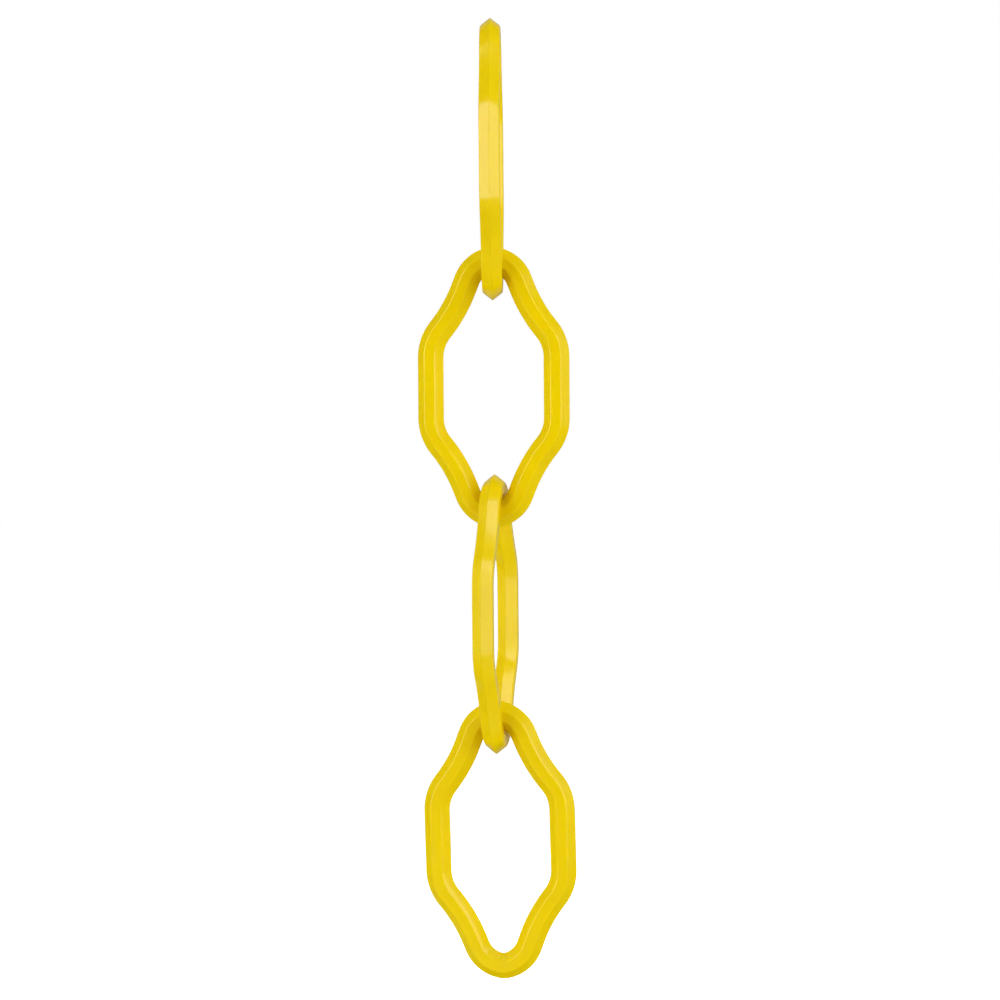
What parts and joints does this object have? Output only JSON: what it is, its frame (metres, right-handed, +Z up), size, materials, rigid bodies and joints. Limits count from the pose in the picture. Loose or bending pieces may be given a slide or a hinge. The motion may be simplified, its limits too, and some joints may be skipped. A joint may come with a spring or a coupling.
{
  "type": "plastic chain",
  "caption": "Hanging length of light plastic chain: closed lozenge links with straight sides, sloped necks and slightly pointed ends, each passed through the next.",
  "frame": {"origin": "inside of the top link's upper end, on its long axis, where a hook or pin bears and the chain hangs from", "axes": "+Z up along the hanging chain, +X across it, +Y through it away from the front; the face-on links lie within 9 degrees of the XZ plane and the edge-on links within 12 degrees of the YZ plane"},
  "size_m": [0.0344, 0.0342, 0.2147],
  "materials": {
    "yellow_plastic": "bright yellow moulded polyethylene, semi-gloss, smooth facets with a fine parting line"
  },
  "bodies": {
    "top_link": {"top_link": "yellow_plastic"},
    "upper_link": {"upper_link": "yellow_plastic"},
    "lower_link": {"lower_link": "yellow_plastic"},
    "bottom_link": {"bottom_link": "yellow_plastic"}
  },
  "joints": [
    {"name": "upper_link_swing", "type": "hinge", "parent": "top_link", "child": "upper_link", "pos_m": [0, 0, -0.05389], "axis": [0.0297, 0.9996, 0], "range_deg": [-130, 130]},
    {"name": "lower_link_swing", "type": "hinge", "parent": "upper_link", "child": "lower_link", "pos_m": [0, 0, -0.10459], "axis": [0.9903, -0.1392, 0], "range_deg": [-130, 130]},
    {"name": "bottom_link_swing", "type": "hinge", "parent": "lower_link", "child": "bottom_link", "pos_m": [0, 0, -0.15529], "axis": [0.1959, 0.9806, 0], "range_deg": [-130, 130]}
  ]
}
